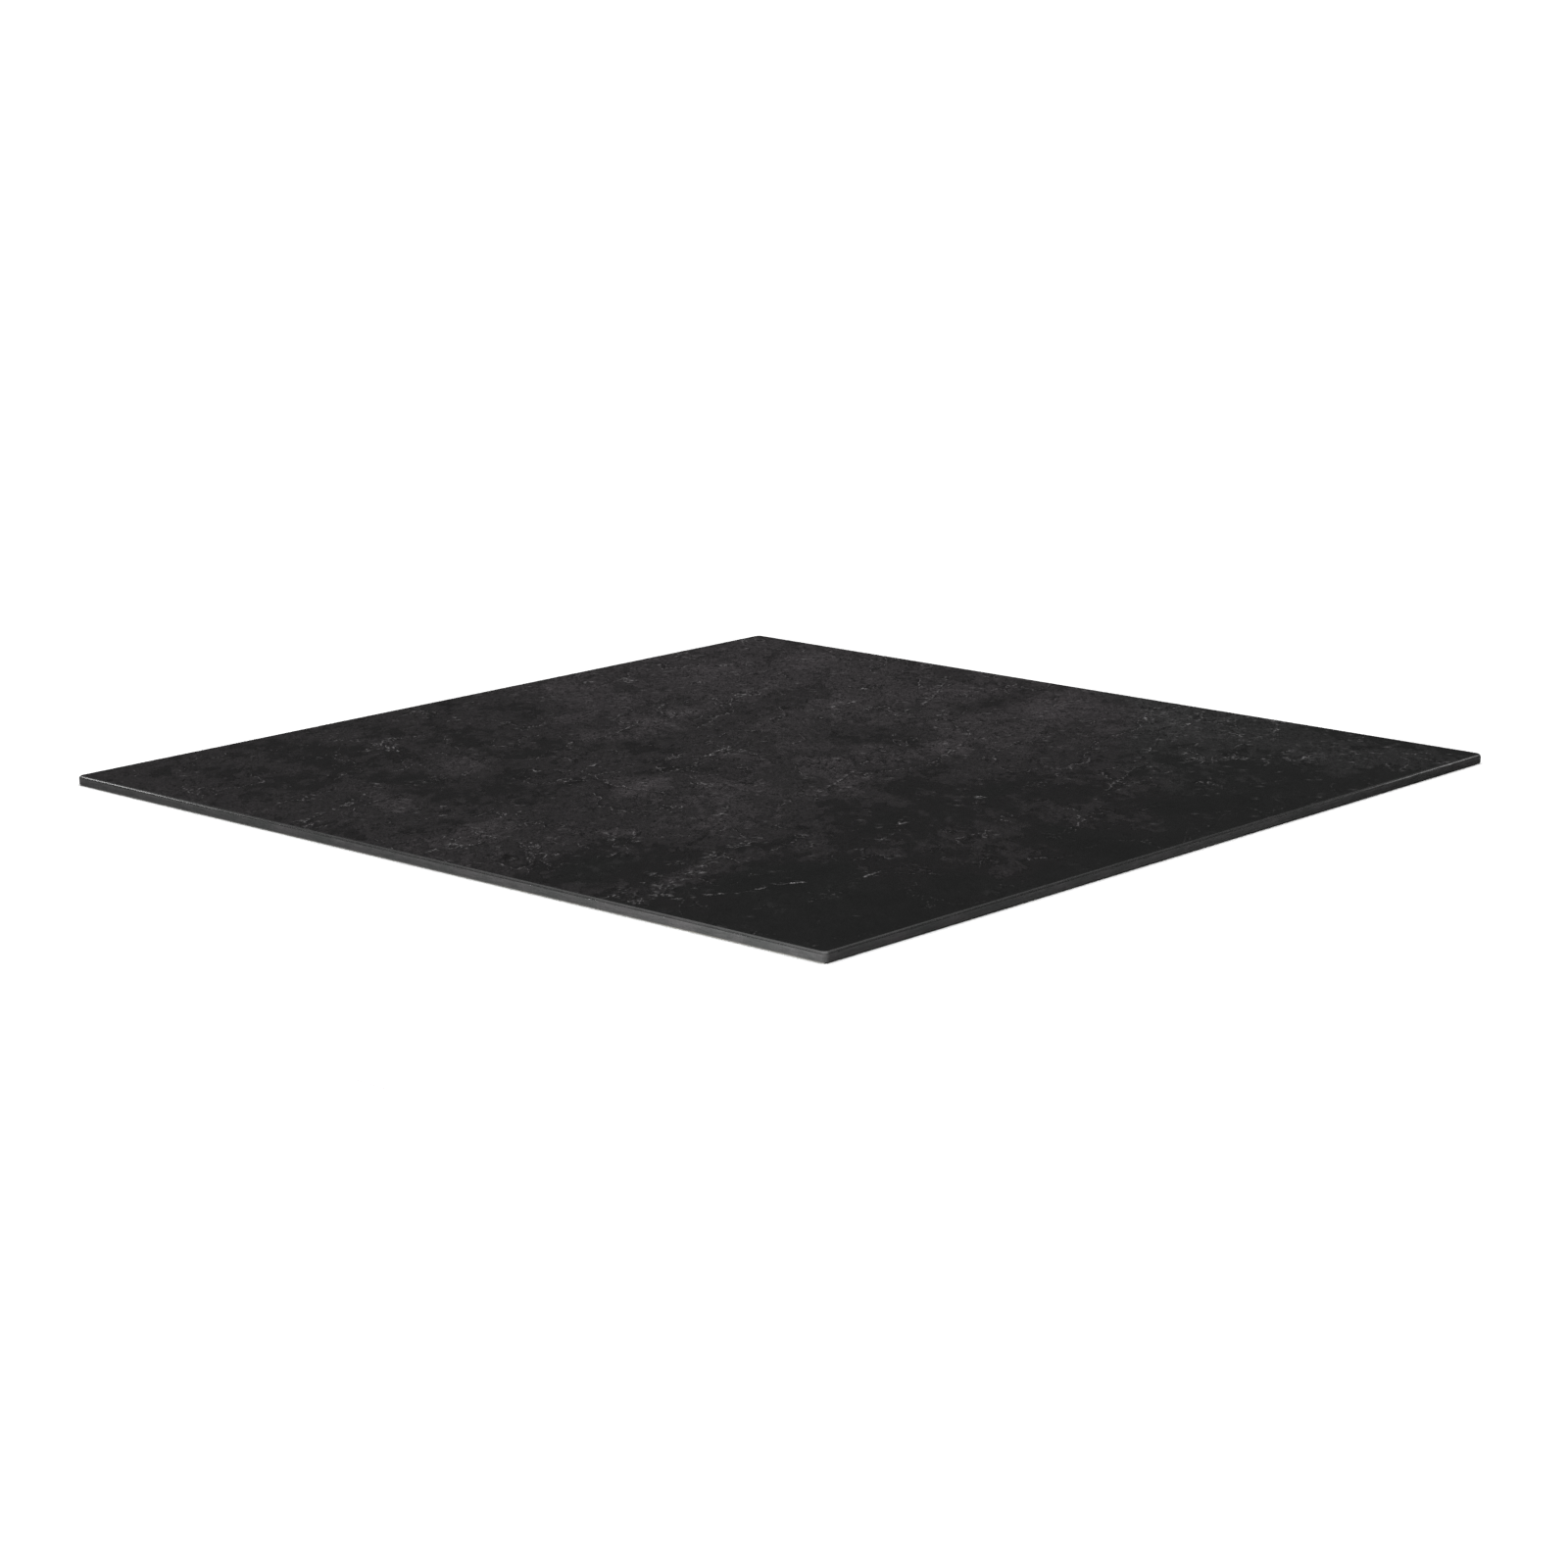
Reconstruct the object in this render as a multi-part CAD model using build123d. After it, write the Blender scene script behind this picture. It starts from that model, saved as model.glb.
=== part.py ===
"""Thin square granite slab with a net-reinforced back, used as a flat, hard bench-top work surface.

Millimetres, +Z up. The origin is the centre of the underside, and X and Y run along the slab's edges.
From the bench upwards the slab is a coat of epoxy resin that holds a glass-fibre net, and then the
granite plate. The net is a laid scrim: one layer of straight yarns against the stone, and a second
layer that crosses it, with resin between the two and under them.
"""
import os

from build123d import *

# Driving dimensions
SIDE = 600.0               # finished square, edge to edge
THICKNESS = 6.2            # overall, from the bench to the work surface
COAT_THICKNESS = 0.5       # resin coat with its net
CORNER_RADIUS = 3.5        # upright corners of the slab, in plan
TOP_ARRIS = 1.2            # 45 degree bevel round the work surface
BOTTOM_ARRIS = 0.5         # 45 degree bevel round the stone's back

NET_PITCH = 5.0            # from one yarn's centre line to the next
YARN_WIDTH = 0.9           # flattened glass yarn
YARN_THICKNESS = 0.2
NET_SETBACK = 2.0          # the net stops short of the coat's edge, so that no glass end shows
RESIN_SKIN = 0.05          # resin under the lower yarns, which closes the underside

# Worked out from them
PLATE_THICKNESS = THICKNESS - COAT_THICKNESS
COAT_SIDE = SIDE - 2 * BOTTOM_ARRIS
COAT_CORNER_RADIUS = CORNER_RADIUS - BOTTOM_ARRIS
YARN_LENGTH = COAT_SIDE - 2 * NET_SETBACK
YARN_COUNT = 1 + 2 * int((YARN_LENGTH - YARN_WIDTH) / 2 // NET_PITCH)
WARP_BOTTOM = COAT_THICKNESS - YARN_THICKNESS     # warp yarns lie against the stone
WEFT_BOTTOM = RESIN_SKIN

UPWARDS = (Align.CENTER, Align.CENTER, Align.MIN)


def rounded_square(side, corner_radius, bottom, height):
    """An upright block, square in plan, with rounded corners."""
    outline = RectangleRounded(side, side, corner_radius)
    return Pos(0, 0, bottom) * extrude(outline, amount=height)


def granite_plate():
    """The stone: bevelled round the work surface, and more finely round its back."""
    plate = rounded_square(SIDE, CORNER_RADIUS, COAT_THICKNESS, PLATE_THICKNESS)
    plate = chamfer(plate.faces().sort_by(Axis.Z)[-1].outer_wire().edges(), TOP_ARRIS)
    return chamfer(plate.faces().sort_by(Axis.Z)[0].outer_wire().edges(), BOTTOM_ARRIS)


def yarn_layer(across, bottom):
    """One layer of parallel yarns as separate solids. across is "X" or "Y", the way the layer is spaced."""
    first = -NET_PITCH * (YARN_COUNT - 1) / 2
    yarns = []
    for number in range(YARN_COUNT):
        offset = first + number * NET_PITCH
        if across == "X":
            yarns.append(Pos(offset, 0, bottom) * Box(YARN_WIDTH, YARN_LENGTH, YARN_THICKNESS, align=UPWARDS))
        else:
            yarns.append(Pos(0, offset, bottom) * Box(YARN_LENGTH, YARN_WIDTH, YARN_THICKNESS, align=UPWARDS))
    return yarns


def resin_coat(yarns):
    """The cured resin, with a groove against the stone for each warp yarn and a duct for each weft yarn."""
    coat = rounded_square(COAT_SIDE, COAT_CORNER_RADIUS, 0.0, COAT_THICKNESS)
    return coat.cut(*yarns)


def write(name, shape):
    """One STEP file for one named sub-part."""
    export_step(shape, f"parts/{name}.step")
    print(f"{name}: {len(shape.solids())} solid(s), {shape.volume / 1000:.2f} cm3")


def main():
    os.makedirs("parts", exist_ok=True)
    warp = yarn_layer("X", WARP_BOTTOM)
    weft = yarn_layer("Y", WEFT_BOTTOM)
    write("granite_plate", granite_plate())
    write("resin_coat", resin_coat(warp + weft))
    write("net_warp_yarns", Compound(children=warp))
    write("net_weft_yarns", Compound(children=weft))


main()
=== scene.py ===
import math
import random

import bmesh
import bpy
from mathutils import Matrix, Vector, kdtree, noise
from mathutils.geometry import delaunay_2d_cdt


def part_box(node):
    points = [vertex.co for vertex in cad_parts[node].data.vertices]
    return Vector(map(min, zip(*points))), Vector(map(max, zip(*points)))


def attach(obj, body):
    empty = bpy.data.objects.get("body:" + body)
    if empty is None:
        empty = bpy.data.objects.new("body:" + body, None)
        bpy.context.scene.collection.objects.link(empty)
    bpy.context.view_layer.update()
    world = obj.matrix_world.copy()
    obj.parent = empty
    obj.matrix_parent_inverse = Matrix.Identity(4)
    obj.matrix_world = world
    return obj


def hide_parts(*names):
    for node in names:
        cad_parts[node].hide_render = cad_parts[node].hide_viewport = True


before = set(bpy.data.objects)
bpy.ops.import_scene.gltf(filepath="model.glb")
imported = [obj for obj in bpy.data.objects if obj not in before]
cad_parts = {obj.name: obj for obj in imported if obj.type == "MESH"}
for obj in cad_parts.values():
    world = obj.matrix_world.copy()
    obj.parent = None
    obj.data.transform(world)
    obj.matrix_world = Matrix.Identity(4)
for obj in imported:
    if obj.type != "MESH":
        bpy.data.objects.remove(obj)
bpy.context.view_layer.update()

# A thin square granite slab, net-backed, lying on a pale floor. Metres throughout, except where a name
# or comment says otherwise. +X and +Y run along the slab's edges and the origin is under its middle.

MM = 0.001

# ------------------------------------------------------------------------------------------------ sizes

PLATE_LOW, PLATE_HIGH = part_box("granite_plate")
COAT_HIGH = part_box("resin_coat")[1]

SIDE = PLATE_HIGH.x - PLATE_LOW.x
TOP = PLATE_HIGH.z
CORNER_RADIUS = 3.5 * MM
TOP_ARRIS = 1.2 * MM
BOTTOM_ARRIS = 0.5 * MM

FACE_DEPTH = 0.18 * MM           # how far the riven work face lies below its highest grains, on average
FACE_SPACING = 3.0 * MM          # mesh spacing on the open face
EDGE_STEPS = 300                 # mesh steps along each straight edge
CORNER_STEPS = 8

NET_PITCH = 5.0 * MM
YARN_WIDTH = 0.9 * MM

# ------------------------------------------------------------------------------- the stone's own pattern and painted shade
# Places are in percent of the side, counted along X and Y from the front corner.

# Veins: broken strings of pale chips, as (strength, spread, points that the string passes), with the spread
# of the chips to each side in millimetres
VEINS = [
    (0.95, 3.5, [(0, 23), (4, 22.8), (8, 25.5), (12, 26.2), (16, 28.5), (19, 30), (23, 30.5), (28, 31.4)]),
    (1.3, 1.5, [(0, 23.2), (2, 24.4), (4, 25.4)]),
    (0.7, 3.0, [(0, 25.5), (6, 27.5), (11, 28.6), (15, 31)]),
    (1.1, 0.8, [(4, 21.6), (8, 19.7), (10, 18.3), (13.5, 18.2), (16, 17), (17.5, 15.2)]),
    (1.1, 0.7, [(20.5, 14.2), (23, 14.3), (25.5, 14.8)]),
    (1.0, 0.8, [(25.5, 18), (28.3, 20.8), (32, 22), (35.7, 22.9)]),
    (1.2, 0.7, [(37, 24.2), (39.5, 25.5), (41.8, 27)]),
    (0.8, 1.0, [(26, 24.6), (28, 27.2), (29.2, 29.5)]),
    (1.4, 0.7, [(42.6, 55.1), (45.7, 58.1), (49.3, 59.3), (53, 59.8), (55.5, 61)]),
    (0.9, 2.5, [(48, 57.5), (52, 58), (54, 57.6)]),
    (1.2, 0.7, [(34, 62.8), (36.4, 64.2), (39.8, 65)]),
    (1.4, 1.6, [(31.2, 66.6), (32.9, 69.4)]),
    (0.9, 1.0, [(28, 38.6), (30.7, 40.2), (34.3, 43.2), (37.1, 45.3), (41, 45.6), (45.5, 45.2)]),
    (1.1, 0.7, [(39.6, 36.8), (42, 38.8), (46.4, 40.3), (50, 42), (54, 43.2)]),
    (1.4, 1.6, [(15.8, 40.2), (17, 41.6), (17.6, 43)]),
    (0.9, 1.0, [(16, 38.6), (18.4, 38.4), (20.5, 37.6)]),
    (1.0, 1.2, [(12.4, 49.8), (14.6, 51.4)]),
    (1.1, 1.2, [(12.6, 45), (15, 45.3), (17.4, 45.8)]),
    (1.0, 1.0, [(5.6, 45.4), (7.6, 46.6)]),
    (0.9, 2.0, [(0, 50), (3.4, 50.2)]),
    (0.5, 4.0, [(3, 50), (8, 50), (13, 50.4), (18, 51)]),
    (1.1, 1.0, [(10.4, 59.8), (12.6, 59.6)]),
    (0.9, 0.8, [(50, 28), (51.6, 26.6), (52, 25.2)]),
    (1.0, 0.7, [(53, 29.2), (55, 29.9), (57.8, 28.6)]),
    (0.8, 0.9, [(60, 17.8), (65.7, 20.3), (70, 21.8), (73, 23.4)]),
    (1.1, 1.2, [(72.4, 22.8), (75, 24.5), (77, 25.4)]),
    (0.65, 1.5, [(77, 25.4), (80.7, 27.2), (84, 28.8), (87, 30.8), (89.5, 33)]),
    (1.2, 1.4, [(89.5, 34), (92.1, 36.8), (94.3, 38), (97, 40), (98.6, 41.6)]),
    (1.0, 0.8, [(90.6, 34.6), (93.6, 36.9), (97, 39.2)]),
    (1.3, 1.2, [(94.6, 31.2), (97.2, 33), (98.6, 34)]),
    (1.0, 0.7, [(90, 30.2), (92, 31), (94.6, 31.2)]),
    (0.9, 0.8, [(95.4, 28.3), (97, 29.2), (99.4, 29)]),
    (0.7, 1.1, [(85, 20.2), (88, 21), (90.5, 22.6), (92, 26)]),
    (0.8, 0.7, [(90.5, 21.6), (93, 21.3), (96, 22.5), (99, 24.8)]),
    (0.7, 0.7, [(79, 22.4), (83, 23.6), (86, 25), (88.4, 27)]),
    (0.4, 1.5, [(51, 15), (58, 17), (66, 18.5), (75, 19)]),
    (1.45, 4.0, [(77, 22), (79, 20), (80.6, 18), (83, 17)]),
    (1.35, 2.5, [(80.2, 17.2), (82, 18.5), (84, 19.6)]),
    (1.4, 1.0, [(84.6, 16.4), (86.4, 15.3), (89, 15.6)]),
    (1.3, 0.8, [(80.8, 13.4), (83.2, 14.3)]),
    (1.35, 2.2, [(84.8, 11.2), (86.6, 12.3), (88.8, 12.9)]),
    (1.5, 1.2, [(72.6, 65.6), (75.7, 65.2), (79.6, 65.4)]),
    (0.9, 1.4, [(79.6, 65.4), (82, 67.7), (85.2, 70.6)]),
    (0.7, 1.0, [(63.4, 63.4), (66, 65.6), (68.4, 66.6)]),
    (1.3, 0.7, [(80.7, 58.4), (84, 59.9), (87, 61.3)]),
    (0.9, 1.0, [(87, 61.3), (90, 63.2), (93.4, 65.4), (96, 67.4)]),
    (0.9, 0.7, [(75, 57.2), (77.4, 57.9), (79, 58.2)]),
    (1.0, 0.8, [(72.5, 49.4), (75.7, 52), (78, 53.6)]),
    (1.6, 1.0, [(78, 53.6), (80.8, 55)]),
    (1.0, 1.2, [(0, 66.8), (4.3, 68.4), (8, 69.4), (12, 71.4), (15.5, 72.6)]),
    (1.3, 1.4, [(3.6, 73), (6, 76)]),
    (1.2, 2.4, [(27.6, 83.4), (29.4, 85.6), (31.4, 88.8), (33, 89.4)]),
    (1.2, 0.8, [(40.8, 92.8), (42.4, 95)]),
    (1.1, 0.8, [(42, 91.2), (44, 91.8)]),
    (0.9, 0.8, [(41.8, 85.8), (43.8, 86.8)]),
    (0.9, 2.0, [(69.8, 79.4), (71.8, 77), (75, 75.8)]),
    (1.4, 1.4, [(60.3, 75.4), (63.4, 74.6)]),
    (1.0, 1.4, [(61.6, 71.4), (63.6, 73)]),
    (0.8, 1.0, [(57, 66.7), (59.4, 67.6)]),
    (0.8, 2.0, [(63.6, 40.2), (66, 41.8)]),
    (1.2, 1.6, [(64.6, 94.2), (66.4, 95.2), (68, 94.4)]),
    (1.3, 2.0, [(81.6, 89.4), (84.4, 90.2)]),
    (1.0, 1.0, [(78, 86), (80, 87.2)]),
    (1.2, 1.2, [(91, 83.6), (94.4, 86.4)]),
    (1.2, 0.8, [(95.8, 89), (97.4, 90)]),
    (0.8, 1.0, [(14, 61.8), (15.8, 63.6)]),
    (0.8, 1.6, [(21.4, 63.8), (24, 66)]),
    (0.8, 1.0, [(54, 78.4), (56.4, 79.8)]),
    (0.3, 1.5, [(46, 8), (55, 10), (61, 12)]),
]

# Patches: cleavage layers a little paler (tone above 0) or darker, as (x, y, length, width, turn, tone)
# with half sizes in percent and the turn in degrees
PATCHES = [
    (33, 54.5, 5, 2.6, 35, 0.75), (10, 52.5, 7, 3.2, 5, 0.42), (13, 67, 5, 2.6, 80, 0.42),
    (3, 74, 3, 4, 0, 0.17), (28, 74, 5, 3.6, 50, 0.42), (53, 83, 4, 2.4, 10, 0.42),
    (48, 74, 3.4, 3.2, 0, 0.34), (48, 57, 3, 2.4, 0, 0.34), (55, 74, 4.4, 3.4, 60, 0.51),
    (62, 75, 3.2, 2.4, -20, 0.8), (62, 94, 4, 4, 30, 0.42), (60, 86, 5, 4, 45, 0.26),
    (79, 88, 6, 3, 15, 0.4), (84, 90, 4, 2, 10, 0.3), (93, 85, 7, 2.4, 28, 0.51),
    (30, 87, 2, 3, 0, 0.17), (76, 65, 5, 2.4, 12, 0.34), (88, 61, 4, 4, 30, 0.34),
    (90, 47, 7, 4, 25, 0.51), (80, 78, 14, 8, 0, 0.13), (67, 43, 4.5, 2.2, 45, 0.51),
    (51, 45, 6, 3, 60, 0.42), (45, 38, 4, 3, 30, 0.34), (77, 42, 8, 3, 20, 0.17),
    (37, 47, 7, 3, 25, 0.26), (26, 35, 7, 4, 20, 0.26), (18, 42, 2.4, 3, 0, 0.42),
    (34, 41, 8, 5, 30, 0.17), (80, 20, 1.8, 6, 12, 0.42), (87, 12, 2.4, 3, 0, 0.2),
    (43, 17, 6, 3, 30, 0.16), (92, 28, 9, 13, 0, 0.3), (34, 8, 6, 4, 30, 0.26),
    (13, 26, 9, 1.6, 12, 0.42), (26, 24, 4, 3, 30, 0.26), (53, 14, 6, 7, 0, 0.2),
    (22, 88, 5, 10, 10, -0.22), (10, 80, 9, 3.4, 10, -0.12), (21, 74, 3, 4, 30, -0.24),
    (12, 90, 5, 7, 0, -0.06), (23, 66, 8, 5.5, 15, -0.22), (24, 57, 4, 5, 0, -0.12),
    (37, 73, 4, 2, 0, -0.24), (37, 85, 5, 4, 20, -0.17), (35, 93, 4, 2.6, 0, -0.18),
    (48, 66, 4, 4, 20, -0.15), (52, 91, 3, 7, 0, -0.17), (56, 51, 3, 2.4, 0, -0.18),
    (66, 53, 4.4, 7, 20, -0.5), (88, 53.5, 9.5, 2.2, 4, -0.38), (75, 72.5, 12, 2.4, 12, -0.34),
    (41, 56, 3, 3, 0, -0.12), (97, 67, 2.4, 3.4, 0, -0.24), (9, 36.5, 8.5, 6, 10, -0.24),
    (15, 20, 7, 3, -8, -0.18), (60, 68, 4, 4, 0, -0.12), (12, 6, 8, 6, 0, -0.18),
    (43, 4, 3, 8, -25, -0.3), (66, 6, 6, 4.4, 0, -0.24), (24, 6, 4, 3, 20, -0.12),
    (38, 27, 5, 3, 30, -0.12), (54, 27, 4, 2.2, 10, -0.3), (51, 34, 4, 3, 30, -0.24),
    (60, 10, 3, 3, 0, -0.18), (58, 38, 8, 2.4, 12, -0.18), (76, 37, 10, 2, 5, -0.12),
    (80, 11, 4, 4, 0, -0.12), (36, 33, 4, 3, 0, -0.06), (92, 9, 9, 10, 0, 0.26),
    (33, 16, 12, 6, 10, 0.24), (68, 16, 9, 4, 10, 0.2),
]

# Painted shade and light over the work face, under its patches: the level at the front, at the left and
# right behind it, and the painted shade added at the back left
FRONT_PAINTED_SHADE, LEFT_PAINTED_LEVEL, RIGHT_PAINTED_LEVEL = -0.50, -0.04, 0.17
BACK_LEFT_PAINTED_SHADE = -0.13


# ------------------------------------------------------------------------------------------------ camera

CAMERA_AZIMUTH = -47.51
CAMERA_ELEVATION = 12.93
CAMERA_ROLL = -0.346
CAMERA_DISTANCE = 2.164
CAMERA_TARGET = Vector((-0.0405, -0.0357, TOP))
CAMERA_LENS = 84.44


def make_camera():
    """Corner on, low and from some way off, as a product picture is taken."""
    azimuth, elevation = math.radians(CAMERA_AZIMUTH), math.radians(CAMERA_ELEVATION)
    back = Vector((math.sin(azimuth) * math.cos(elevation),
                   -math.cos(azimuth) * math.cos(elevation),
                   math.sin(elevation)))
    data = bpy.data.cameras.new("camera")
    data.lens = CAMERA_LENS
    data.sensor_width = 36.0
    camera = bpy.data.objects.new("camera", data)
    bpy.context.scene.collection.objects.link(camera)
    place = Matrix.Translation(CAMERA_TARGET + back * CAMERA_DISTANCE)
    aim = (-back).to_track_quat("-Z", "Y").to_matrix().to_4x4()
    roll = Matrix.Rotation(math.radians(CAMERA_ROLL), 4, "Z")
    camera.matrix_world = place @ aim @ roll
    bpy.context.scene.camera = camera


# ------------------------------------------------------------------------------------------ mesh helpers

def ripple(x, y, size, seed, octaves=4):
    """Smooth random height, about -1 to 1, with features about size across. Same result every run."""
    return noise.fractal(Vector((x / size, y / size, seed)), 0.9, 2.1, octaves)


def smooth(low, high, value):
    """0 at low and before it, 1 at high and past it, and an even S between them."""
    share = max(0.0, min(1.0, (value - low) / (high - low)))
    return share * share * (3 - 2 * share)


def percent(x, y):
    """A place given in percent of the side, in metres."""
    return (x / 100 - 0.5) * SIDE, (y / 100 - 0.5) * SIDE


def ring(inset):
    """Points round the slab's plan, anticlockwise, inset from its edges. Rings match point for point."""
    half = SIDE / 2
    straight = half - CORNER_RADIUS
    radius = CORNER_RADIUS - inset
    points = []
    for quarter in range(4):
        turn = Matrix.Rotation(quarter * math.pi / 2, 2)
        for step in range(EDGE_STEPS):
            points.append(turn @ Vector((straight * (2 * step / EDGE_STEPS - 1), inset - half)))
        for step in range(CORNER_STEPS):
            angle = (step / CORNER_STEPS - 1) * math.pi / 2
            points.append(turn @ Vector((straight + radius * math.cos(angle),
                                         -straight + radius * math.sin(angle))))
    return points


def finish_mesh(name, vertices, faces):
    """A new object from plain lists, with its normals pointing out."""
    mesh = bpy.data.meshes.new(name)
    mesh.from_pydata(vertices, [], faces)
    built = bmesh.new()
    built.from_mesh(mesh)
    bmesh.ops.recalc_face_normals(built, faces=built.faces)
    built.to_mesh(mesh)
    built.free()
    for polygon in mesh.polygons:
        polygon.use_smooth = True
    obj = bpy.data.objects.new(name, mesh)
    bpy.context.scene.collection.objects.link(obj)
    return obj


# ----------------------------------------------------------------------------------------- stone's shape

VEIN_STEP = 1.5 * MM
VEIN_ROWS = (0.0, 0.8, 2.0)           # mesh rows each side of a vein's line, in millimetres
VEIN_REACH = 6.0 * MM                 # beyond this a vein has no effect
WIDE_VEIN = 1.8 * MM                  # a vein with more spread than this has a strand to each side as well
CHIP_SIDES = 5
CHIP_CELL = 3 * MM                    # square cells that chips are looked up by
SCATTERED_CHIPS = 9000                # tries at chips and pits away from the veins
BEVEL_STRIPS = 4                      # how many of the edge's strips of faces are bevel


def vein_line(points, seed):
    """A slightly jagged line through the points, as points VEIN_STEP apart."""
    corners = [Vector(percent(*p)) for p in points]
    line = []
    travelled = 0.0
    for a, b in zip(corners, corners[1:]):
        steps = max(1, round((b - a).length / VEIN_STEP))
        along = (b - a).normalized()
        across = Vector((-along.y, along.x))
        for step in range(steps):
            spot = a.lerp(b, step / steps)
            sway = 1.6 * ripple(travelled, 0, 18 * MM, seed, 2)
            sway += 0.5 * ripple(travelled, 0, 4 * MM, seed + 9, 2)
            line.append(spot + across * sway * MM)
            travelled += VEIN_STEP
    return line


class Veins:
    """All the veins' lines, and how far any place is from the nearest."""

    def __init__(self):
        self.spots, self.across, self.strengths, self.spreads = [], [], [], []
        for number, (strength, spread, points) in enumerate(VEINS):
            line = vein_line(points, 3.7 * number)
            for step, spot in enumerate(line):
                fade = min(1.0, 8.0 * min(step + 1, len(line) - step) / len(line))
                broken = 0.55 + 1.7 * ripple(step * VEIN_STEP, 0, 9 * MM, 5.1 * number + 2, 3)
                along = line[min(step + 1, len(line) - 1)] - line[max(step - 1, 0)]
                self.spots.append(spot)
                self.across.append(Vector((-along.y, along.x)).normalized())
                self.strengths.append(strength * fade * max(0.0, min(1.0, broken)))
                self.spreads.append(spread * MM)
        self.tree = kdtree.KDTree(len(self.spots))
        for index, spot in enumerate(self.spots):
            self.tree.insert((spot.x, spot.y, 0), index)
        self.tree.balance()

    def nearest(self, x, y):
        """(signed distance, strength) of the nearest vein."""
        _, index, distance = self.tree.find((x, y, 0))
        side = self.across[index].dot(Vector((x, y)) - self.spots[index])
        return math.copysign(distance, side), self.strengths[index]

    def mesh_rows(self):
        """Places for mesh points along and beside every vein."""
        places = []
        for spot, across in zip(self.spots, self.across):
            for row in VEIN_ROWS:
                places.append(spot + across * row * MM)
                if row:
                    places.append(spot - across * row * MM)
        return places


class Chips:
    """Small angular grains that stand proud of the work face, and the pits that others have left."""

    def __init__(self, veins):
        self.pick = random.Random(11)
        self.limit = SIDE / 2 - TOP_ARRIS - 2.5 * MM
        self.spots, self.radii, self.rises, self.tones = [], [], [], []
        self.cells = {}
        along_veins = zip(veins.spots, veins.across, veins.strengths, veins.spreads)
        for spot, across, strength, spread in along_veins:
            for strand in ((-1, 0, 1) if spread > WIDE_VEIN else (0,)):
                drift = strand * spread * (0.8 + 0.6 * ripple(spot.x, spot.y, 20 * MM, 7.0 * strand, 2))
                shown = strength * (0.72 + 1.4 * ripple(spot.x, spot.y, 8 * MM, 41.0 + strand, 2))
                if self.pick.random() < min(0.75, 1.1 * shown):
                    self.along_vein(spot + across * drift, across, shown)
        for _ in range(SCATTERED_CHIPS):
            self.anywhere()
        self.tree = kdtree.KDTree(len(self.spots))
        for index, spot in enumerate(self.spots):
            self.tree.insert((spot.x, spot.y, 0), index)
        self.tree.balance()

    def add(self, spot, radius, rise, tone):
        """Keeps the chip if it is on the face and clear of the others."""
        if max(abs(spot.x), abs(spot.y)) > self.limit:
            return
        column, row = int(spot.x // CHIP_CELL), int(spot.y // CHIP_CELL)
        for near in [(column + i, row + j) for i in (-1, 0, 1) for j in (-1, 0, 1)]:
            for other in self.cells.get(near, ()):
                if (self.spots[other] - spot).length < radius + self.radii[other] + 0.15 * MM:
                    return
        self.cells.setdefault((column, row), []).append(len(self.spots))
        self.spots.append(spot)
        self.radii.append(radius)
        self.rises.append(rise)
        self.tones.append(tone)

    def along_vein(self, spot, across, strength):
        """A pale chip near a place on a vein, often with a pit beside it, and sometimes a lone chip."""
        pick = self.pick
        place = spot + across * pick.gauss(0, 0.5) * MM
        radius = pick.uniform(0.32, 0.66) * MM
        rise = pick.uniform(0.08, 0.2) * MM
        self.add(place, radius, rise, 0.62 * strength * pick.uniform(0.25, 1.0) ** 1.3)
        if pick.random() < 0.7:
            pit = pick.uniform(0.45, 0.8) * MM
            side = pick.choice((-1, 1)) * (radius + pit + pick.uniform(0.2, 0.5) * MM)
            # A pit, whose dark tone is painted shade
            self.add(place + across * side, pit, -pick.uniform(0.10, 0.22) * MM, -0.95)
        if pick.random() < 0.4:
            side = pick.choice((-1, 1)) * pick.uniform(1.4, 3.2) * MM
            self.add(spot + across * side, pick.uniform(0.3, 0.6) * MM, pick.uniform(0.05, 0.12) * MM,
                     0.35 * strength * pick.uniform(0.2, 1.0))

    def anywhere(self):
        """A chip or pit at a random place, more likely where the stone is pale or near the right corner."""
        pick = self.pick
        x, y = pick.uniform(-self.limit, self.limit), pick.uniform(-self.limit, self.limit)
        crowd = 0.20 + 0.45 * layer_tone_and_painted_shade(x, y) + 0.55 * ripple(x, y, 24 * MM, 51.0, 3)
        crowd += 0.35 * smooth(0.52, 0.70, (x - y) / SIDE)
        if pick.random() > crowd:
            return
        if pick.random() < 0.38:
            self.add(Vector((x, y)), pick.uniform(0.45, 0.85) * MM, pick.uniform(0.06, 0.14) * MM,
                     pick.uniform(0.05, 0.27) * min(1.0, crowd + 0.3))
        else:
            # A pit, whose dark tone is painted shade
            self.add(Vector((x, y)), pick.uniform(0.6, 1.1) * MM, -pick.uniform(0.06, 0.14) * MM,
                     -pick.uniform(0.4, 0.8))

    def clear(self, place):
        """Whether a mesh point at this place would be clear of every chip."""
        _, index, distance = self.tree.find((place.x, place.y, 0))
        return distance > self.radii[index] + 0.4 * MM

    def corners(self, index):
        """The points round a chip's foot."""
        turn = index * 2.4
        spot, radius = self.spots[index], self.radii[index]
        return [spot + Vector((math.cos(turn + side * math.tau / CHIP_SIDES),
                               math.sin(turn + side * math.tau / CHIP_SIDES)))
                * radius * (1.0 + 0.22 * math.sin(5 * turn + 2.3 * side)) for side in range(CHIP_SIDES)]


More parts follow.
